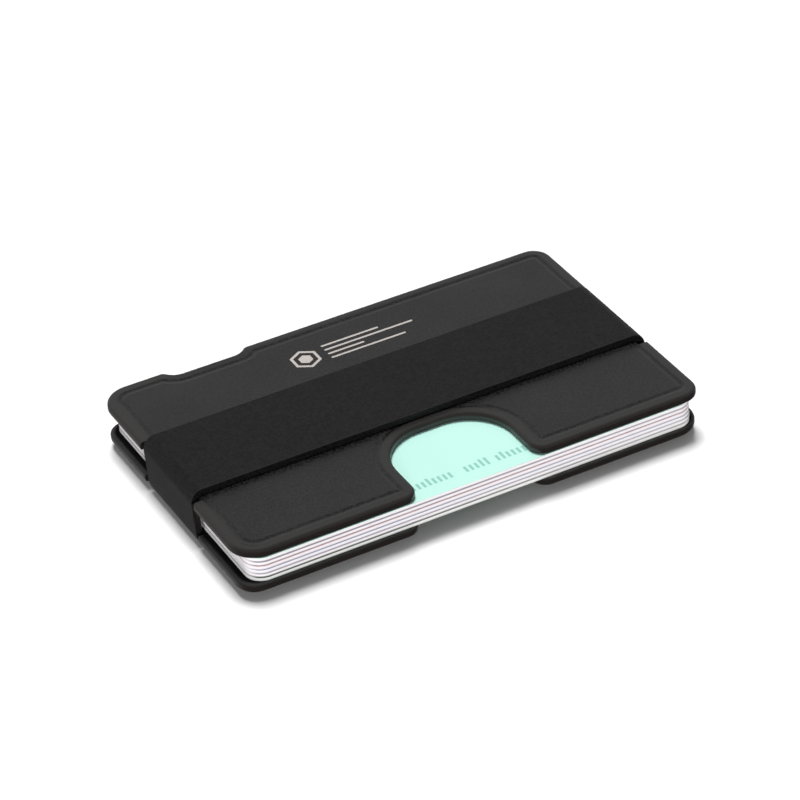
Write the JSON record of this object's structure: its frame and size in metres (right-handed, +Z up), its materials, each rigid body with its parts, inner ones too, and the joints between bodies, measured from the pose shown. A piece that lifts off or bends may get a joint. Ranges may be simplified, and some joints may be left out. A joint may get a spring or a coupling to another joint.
{
  "type": "minimalist wallet",
  "caption": "Slim card wallet: two dark metal plates with thumb cut-outs squeeze a stack of bank-sized cards, held by one wide elastic band.",
  "frame": {"origin": "middle of the wallet in X and Y, on the band's underside, which it rests on", "axes": "+X along the long side, +Y to the rear, away from the thumb cut-outs, +Z up"},
  "size_m": [0.0888, 0.0558, 0.0103],
  "materials": {
    "plate": "black anodised, satin",
    "band": "matte silicone rubber",
    "card_mint": "satin laminate, mint print",
    "card_graphite": "gloss laminate, graphite print",
    "card_red": "gloss laminate, dark red print",
    "card_blue": "gloss laminate, blue print",
    "card_mauve": "satin laminate, pale mauve print",
    "card_green": "gloss laminate, dark green print",
    "contact": "gold-plated contacts"
  },
  "bodies": {
    "lower_shell": {"lower_plate": "plate", "elastic_band": "band"},
    "upper_shell": {"upper_plate": "plate"},
    "card_1_body": {"card_1": "card_mint", "contact_module_1": "contact"},
    "card_2_body": {"card_2": "card_graphite", "contact_module_2": "contact"},
    "card_3_body": {"card_3": "card_red", "contact_module_3": "contact"},
    "card_4_body": {"card_4": "card_blue", "contact_module_4": "contact"},
    "card_5_body": {"card_5": "card_mauve"},
    "card_6_body": {"card_6": "card_green", "contact_module_6": "contact"}
  },
  "joints": [
    {"name": "plate_spread", "type": "slide", "parent": "lower_shell", "child": "upper_shell", "axis": [0, 0, 1], "range_m": [0, 0.0032], "stiffness_N_per_m": 900, "springref_m": -0.005, "deforming": ["elastic_band"]},
    {"name": "card_1_slide", "type": "slide", "parent": "lower_shell", "child": "card_1_body", "axis": [0, 1, 0], "range_m": [-0.056, 0.056]},
    {"name": "card_2_slide", "type": "slide", "parent": "lower_shell", "child": "card_2_body", "axis": [0, 1, 0], "range_m": [-0.056, 0.056]},
    {"name": "card_3_slide", "type": "slide", "parent": "lower_shell", "child": "card_3_body", "axis": [0, 1, 0], "range_m": [-0.056, 0.056]},
    {"name": "card_4_slide", "type": "slide", "parent": "lower_shell", "child": "card_4_body", "axis": [0, 1, 0], "range_m": [-0.056, 0.056]},
    {"name": "card_5_slide", "type": "slide", "parent": "lower_shell", "child": "card_5_body", "axis": [0, 1, 0], "range_m": [-0.056, 0.056]},
    {"name": "card_6_slide", "type": "slide", "parent": "lower_shell", "child": "card_6_body", "axis": [0, 1, 0], "range_m": [-0.056, 0.056]}
  ]
}
